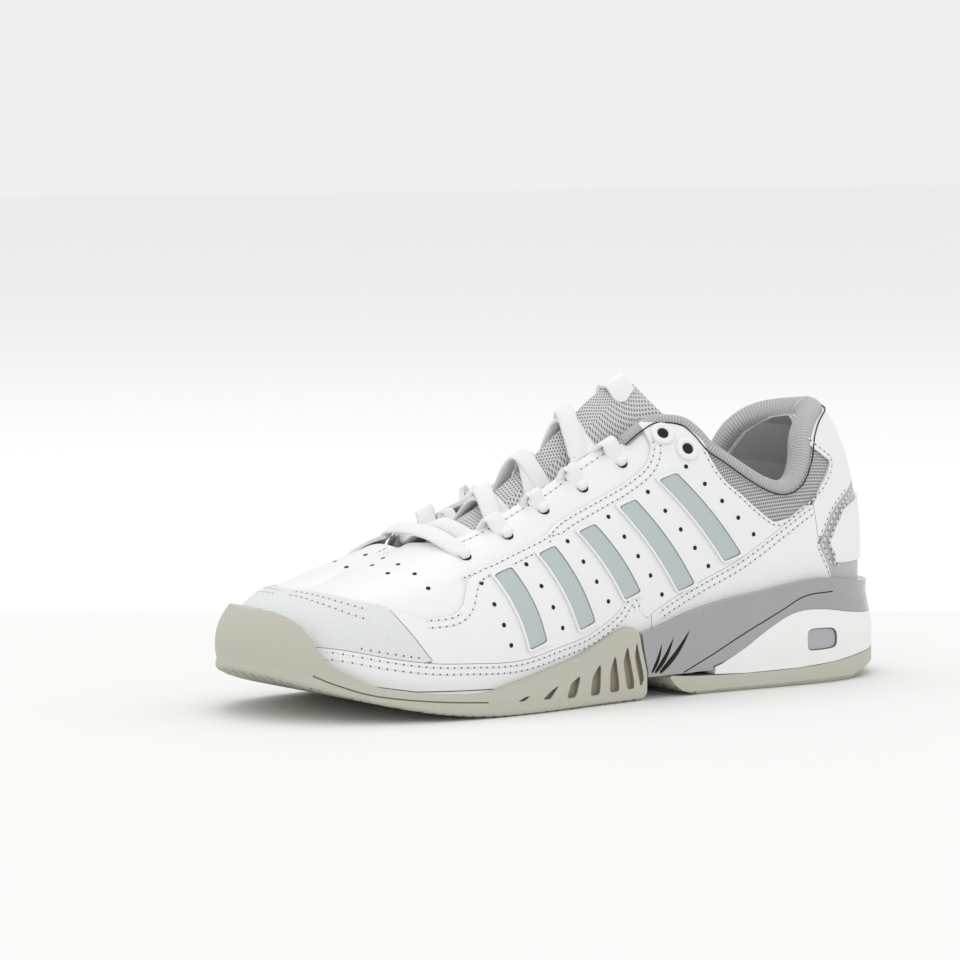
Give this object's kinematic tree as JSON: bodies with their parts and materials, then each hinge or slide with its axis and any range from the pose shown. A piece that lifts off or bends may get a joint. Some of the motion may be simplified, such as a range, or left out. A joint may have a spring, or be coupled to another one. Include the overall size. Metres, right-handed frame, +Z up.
{
  "type": "court shoe",
  "caption": "Low-cut left court shoe: padded lace-up upper of overlaid panels, tilting tongue, lift-out sock liner, foam midsole with a moulded shank plate and a split rubber outsole.",
  "frame": {"origin": "middle of the bounding box's bottom face, on the floor under the sole", "axes": "+X along the shoe from toe to heel, -Y towards the lateral (outer) side, +Z up"},
  "size_m": [0.276, 0.1044, 0.1178],
  "materials": {
    "rubber_sole": "matt, lightly grained",
    "foam_midsole": "matt, painted foam",
    "window_insert": "glossy",
    "moulded_shank": "glossy, silver-grey",
    "fibre_board": "matt",
    "sock_fabric": "fine knit",
    "toe_textile": "fine diagonal weave under a thin coat",
    "white_synthetic": "smooth coated, low sheen",
    "collar_mesh": "open knit",
    "grey_trim": "satin",
    "ribbed_textile": "ribbed",
    "stiffener": "matt",
    "lining_mesh": "spacer knit",
    "padding_foam": "open-cell foam",
    "ribbed_knit": "fine ribs",
    "eyelet_ring": "pressed, low sheen",
    "tongue_mesh": "knit with oval holes",
    "label": "satin",
    "lace_weave": "flat woven",
    "blue_grey_film": "satin",
    "silver_foil": "wrinkled metallic"
  },
  "bodies": {
    "shoe": {"outsole_forefoot": "rubber_sole", "outsole_heel": "rubber_sole", "midsole": "foam_midsole", "midsole_window": "window_insert", "stabiliser_shank": "moulded_shank", "lasting_board": "fibre_board", "toe_cap": "toe_textile", "vamp": "white_synthetic", "eyestay_medial": "white_synthetic", "quarter_lateral": "white_synthetic", "quarter_medial": "white_synthetic", "foxing_lateral": "white_synthetic", "foxing_medial": "white_synthetic", "rear_foxing_lateral": "white_synthetic", "rear_foxing_medial": "white_synthetic", "collar_mesh_lateral": "collar_mesh", "collar_mesh_medial": "collar_mesh", "heel_panel": "white_synthetic", "heel_trim": "grey_trim", "back_patch": "white_synthetic", "flex_patch": "ribbed_textile", "toe_puff": "stiffener", "heel_counter": "stiffener", "lining_forefoot": "lining_mesh", "lining_rear": "lining_mesh", "collar_foam": "padding_foam", "collar_lining": "lining_mesh", "collar_roll": "ribbed_knit", "eyelet_ring_lateral_1": "eyelet_ring", "eyelet_ring_lateral_2": "eyelet_ring", "eyelet_ring_medial_1": "eyelet_ring", "eyelet_ring_medial_2": "eyelet_ring", "lace": "lace_weave", "stripe_lateral_1": "blue_grey_film", "stripe_medial_1": "silver_foil", "stripe_lateral_2": "blue_grey_film", "stripe_medial_2": "silver_foil", "stripe_lateral_3": "blue_grey_film", "stripe_medial_3": "silver_foil", "stripe_lateral_4": "blue_grey_film", "stripe_medial_4": "silver_foil", "stripe_lateral_5": "blue_grey_film", "stripe_medial_5": "silver_foil"},
    "tongue": {"tongue_face": "tongue_mesh", "tongue_foam": "padding_foam", "tongue_lining": "lining_mesh", "tongue_label": "label"},
    "sock_liner": {"sock_liner": "sock_fabric"}
  },
  "joints": [
    {"name": "tongue_tilt", "type": "hinge", "parent": "shoe", "child": "tongue", "pos_m": [-0.07301, 0.00113, 0.047], "axis": [0, 1, 0], "range_deg": [0, 10], "stiffness_Nm_per_rad": 0.3, "springref_deg": -8.59},
    {"name": "sock_liner_lift", "type": "hinge", "parent": "shoe", "child": "sock_liner", "pos_m": [-0.12101, 0.00113, 0.02], "axis": [0, -1, 0], "range_deg": [0, 2.5]}
  ]
}
